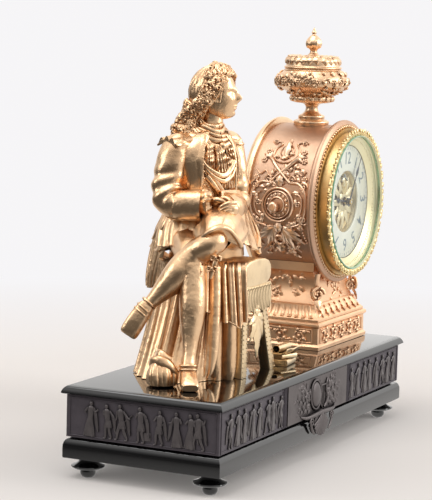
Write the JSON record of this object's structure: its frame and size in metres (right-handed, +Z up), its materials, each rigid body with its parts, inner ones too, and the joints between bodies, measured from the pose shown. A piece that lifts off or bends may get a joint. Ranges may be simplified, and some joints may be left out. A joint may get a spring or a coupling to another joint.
{
  "type": "figural mantel clock",
  "caption": "Mantel clock with a seated figure on a stool beside a drum case with an urn, on a long footed base with relief panels.",
  "frame": {"origin": "on the table, under the middle of the base", "axes": "+X along the base to the right as seen from the dial side, the dial faces -Y, +Z up"},
  "size_m": [0.4931, 0.1812, 0.4508],
  "materials": {
    "enamel": "black gloss enamel on cast iron",
    "dark_bronze": "dark brown bronzed relief",
    "copper_bronze": "satin rose gilt casting",
    "gilt": "bright gilt casting",
    "brass": "polished brass",
    "steel": "bright steel",
    "blued_steel": "blued steel",
    "porcelain": "white fired enamel",
    "glass": "clear flat glass"
  },
  "bodies": {
    "case": {"base_top_slab": "enamel", "base_frieze_box": "enamel", "base_moulding": "enamel", "foot_front_left": "enamel", "foot_front_right": "enamel", "foot_rear_left": "enamel", "foot_rear_right": "enamel", "end_frieze_left": "dark_bronze", "end_frieze_right": "dark_bronze", "front_frieze_left": "dark_bronze", "front_frieze_right": "dark_bronze", "front_centre_mount": "dark_bronze", "case_plinth": "copper_bronze", "case_pedestal": "copper_bronze", "drum_barrel": "copper_bronze", "front_ring": "copper_bronze", "rear_ring": "copper_bronze", "side_mount_left": "copper_bronze", "side_mount_right": "copper_bronze", "urn_foot": "copper_bronze", "urn_bowl": "copper_bronze", "urn_lid": "copper_bronze", "seated_figure": "gilt", "stool": "gilt", "books_and_scroll": "gilt", "dial_sash": "gilt", "dial_centre": "gilt", "dial_pan": "brass", "front_plate": "brass", "back_plate": "brass", "case_bolt": "steel", "case_screw_top": "steel", "case_screw_bottom": "steel", "back_hinge_pin": "steel", "bezel_hinge_pin": "steel", "gong": "steel", "dial_ring": "porcelain"},
    "bezel": {"bezel_ring": "brass", "bezel_glass": "glass"},
    "back_door": {"back_cover": "brass"},
    "minute": {"centre_arbor": "steel", "minute_hand": "blued_steel", "hand_nut": "brass"},
    "hour": {"hour_wheel": "brass", "hour_hand": "blued_steel"},
    "minute_reduction": {"minute_wheel": "brass"},
    "going_drum": {"going_barrel": "brass"},
    "going_winder": {"going_winding_arbor": "steel"},
    "second_arbor": {"intermediate_wheel": "brass"},
    "third_arbor": {"third_wheel": "brass"},
    "escape_arbor": {"escape_wheel": "brass"},
    "anchor": {"pallet_anchor": "steel"},
    "pendulum": {"pendulum": "brass"},
    "strike_drum": {"strike_barrel": "brass"},
    "strike_winder": {"strike_winding_arbor": "steel"},
    "strike_second": {"strike_intermediate_wheel": "brass"},
    "strike_third": {"strike_wheel": "brass"},
    "fly": {"fly": "brass"},
    "hammer": {"strike_hammer": "steel"}
  },
  "joints": [
    {"name": "bezel_hinge", "type": "hinge", "parent": "case", "child": "bezel", "pos_m": [0.2405, -0.0556, 0.2563], "axis": [0, 0, 1], "range_deg": [0, 110]},
    {"name": "back_door_hinge", "type": "hinge", "parent": "case", "child": "back_door", "pos_m": [0.0812, 0.0424, 0.2563], "axis": [0, 0, 1], "range_deg": [0, 110]},
    {"name": "minute_hand_turn", "type": "hinge", "parent": "case", "child": "minute", "pos_m": [0.157, 0, 0.2563], "axis": [0, 1, 0], "continuous": true},
    {"name": "hour_hand_turn", "type": "hinge", "parent": "case", "child": "hour", "pos_m": [0.157, 0, 0.2563], "axis": [0, 1, 0], "continuous": true},
    {"name": "minute_reduction_turn", "type": "hinge", "parent": "case", "child": "minute_reduction", "pos_m": [0.157, 0, 0.2419], "axis": [0, 1, 0], "continuous": true},
    {"name": "going_drum_turn", "type": "hinge", "parent": "case", "child": "going_drum", "pos_m": [0.19, 0, 0.2263], "axis": [0, 1, 0], "continuous": true},
    {"name": "second_arbor_turn", "type": "hinge", "parent": "case", "child": "second_arbor", "pos_m": [0.17884, 0, 0.25089], "axis": [0, 1, 0], "continuous": true},
    {"name": "third_arbor_turn", "type": "hinge", "parent": "case", "child": "third_arbor", "pos_m": [0.14613, 0, 0.2643], "axis": [0, 1, 0], "continuous": true},
    {"name": "escape_arbor_turn", "type": "hinge", "parent": "case", "child": "escape_arbor", "pos_m": [0.157, 0, 0.2723], "axis": [0, 1, 0], "continuous": true},
    {"name": "going_winding", "type": "hinge", "parent": "case", "child": "going_winder", "pos_m": [0.19, 0, 0.2263], "axis": [0, 1, 0], "continuous": true},
    {"name": "strike_third_turn", "type": "hinge", "parent": "case", "child": "strike_third", "pos_m": [0.12701, 0, 0.27403], "axis": [0, 1, 0], "continuous": true},
    {"name": "strike_second_turn", "type": "hinge", "parent": "case", "child": "strike_second", "pos_m": [0.11931, 0, 0.25289], "axis": [0, 1, 0], "continuous": true},
    {"name": "strike_drum_turn", "type": "hinge", "parent": "case", "child": "strike_drum", "pos_m": [0.124, 0, 0.2263], "axis": [0, 1, 0], "continuous": true},
    {"name": "fly_turn", "type": "hinge", "parent": "case", "child": "fly", "pos_m": [0.12466, 0, 0.28733], "axis": [0, 1, 0], "continuous": true},
    {"name": "strike_winding", "type": "hinge", "parent": "case", "child": "strike_winder", "pos_m": [0.124, 0, 0.2263], "axis": [0, 1, 0], "continuous": true},
    {"name": "pendulum_swing", "type": "hinge", "parent": "case", "child": "pendulum", "pos_m": [0.157, 0, 0.285], "axis": [0, 1, 0], "range_deg": [-4, 4]},
    {"name": "anchor_rock", "type": "hinge", "parent": "case", "child": "anchor", "pos_m": [0.157, 0, 0.285], "axis": [0, 1, 0], "range_deg": [-4, 4]},
    {"name": "hammer_lift", "type": "hinge", "parent": "case", "child": "hammer", "pos_m": [0.107, 0, 0.2863], "axis": [0, 1, 0], "range_deg": [-20, 0]}
  ],
  "couplings": [
    {"joint": "hour_hand_turn", "follows": "minute_hand_turn", "ratio": 0.083333},
    {"joint": "minute_reduction_turn", "follows": "minute_hand_turn", "ratio": -0.33333},
    {"joint": "second_arbor_turn", "follows": "minute_hand_turn", "ratio": -0.25},
    {"joint": "going_drum_turn", "follows": "minute_hand_turn", "ratio": 0.05},
    {"joint": "third_arbor_turn", "follows": "minute_hand_turn", "ratio": -4},
    {"joint": "escape_arbor_turn", "follows": "minute_hand_turn", "ratio": 16},
    {"joint": "strike_second_turn", "follows": "strike_third_turn", "ratio": -0.25},
    {"joint": "strike_drum_turn", "follows": "strike_third_turn", "ratio": 0.05},
    {"joint": "fly_turn", "follows": "strike_third_turn", "ratio": -4},
    {"joint": "anchor_rock", "follows": "pendulum_swing", "ratio": 1}
  ]
}
